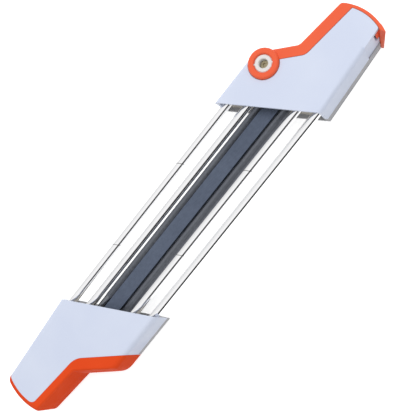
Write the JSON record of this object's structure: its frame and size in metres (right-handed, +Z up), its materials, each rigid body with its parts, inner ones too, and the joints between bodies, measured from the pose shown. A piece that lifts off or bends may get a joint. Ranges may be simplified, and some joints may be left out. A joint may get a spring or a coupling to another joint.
{
  "type": "chainsaw sharpener",
  "caption": "Two-in-one saw-chain file guide: two angled handles joined by guide rods, with a flat file and round files between them and a swinging locking lever.",
  "frame": {"origin": "on the surface that the guide lies on, midway between the two handles", "axes": "+X along the rods to the release handle, +Y across the rods, +Z up to the front face"},
  "size_m": [0.3343, 0.0606, 0.027],
  "materials": {
    "shell_light": "satin moulded nylon, bluish white",
    "shell_dark": "satin moulded nylon, mid grey",
    "carrier": "matt moulded nylon",
    "orange_lever": "satin moulded plastic, orange red",
    "orange_grip": "soft satin elastomer, orange red",
    "white_cam": "satin acetal, white",
    "screw_brass": "dull plated",
    "screw_steel": "zinc plated",
    "pad": "matt",
    "rod_chrome": "ground and bright",
    "file_flat": "cut teeth, blue grey",
    "file_round": "cut teeth, dark grey"
  },
  "bodies": {
    "frame": {"release_front_shell": "shell_light", "release_back_shell": "shell_dark", "release_carrier": "carrier", "release_handle_screws": "screw_steel", "fixed_front_shell": "shell_light", "fixed_back_shell": "shell_dark", "fixed_carrier": "carrier", "fixed_grip": "orange_grip", "fixed_handle_screws": "screw_steel", "fixed_rod_pins": "screw_steel", "file_end_pads": "pad", "guide_rod_outer_upper": "rod_chrome", "guide_rod_inner_upper": "rod_chrome", "guide_rod_inner_lower": "rod_chrome", "guide_rod_outer_lower": "rod_chrome", "flat_file": "file_flat"},
    "lever": {"locking_lever": "orange_lever", "cam_shaft": "white_cam", "pivot_screw": "screw_brass", "pivot_nut": "screw_steel", "lever_washer": "screw_steel"},
    "upper_file": {"round_file_upper": "file_round"},
    "lower_file": {"round_file_lower": "file_round"}
  },
  "joints": [
    {"name": "lever_swing", "type": "hinge", "parent": "frame", "child": "lever", "pos_m": [0.1038, 0.0198, 0], "axis": [0, 0, 1], "range_deg": [0, 90]},
    {"name": "upper_file_turn", "type": "hinge", "parent": "frame", "child": "upper_file", "pos_m": [0, 0.00765, 0.0152], "axis": [1, 0, 0], "continuous": true},
    {"name": "lower_file_turn", "type": "hinge", "parent": "frame", "child": "lower_file", "pos_m": [0, -0.00765, 0.0152], "axis": [1, 0, 0], "continuous": true}
  ]
}
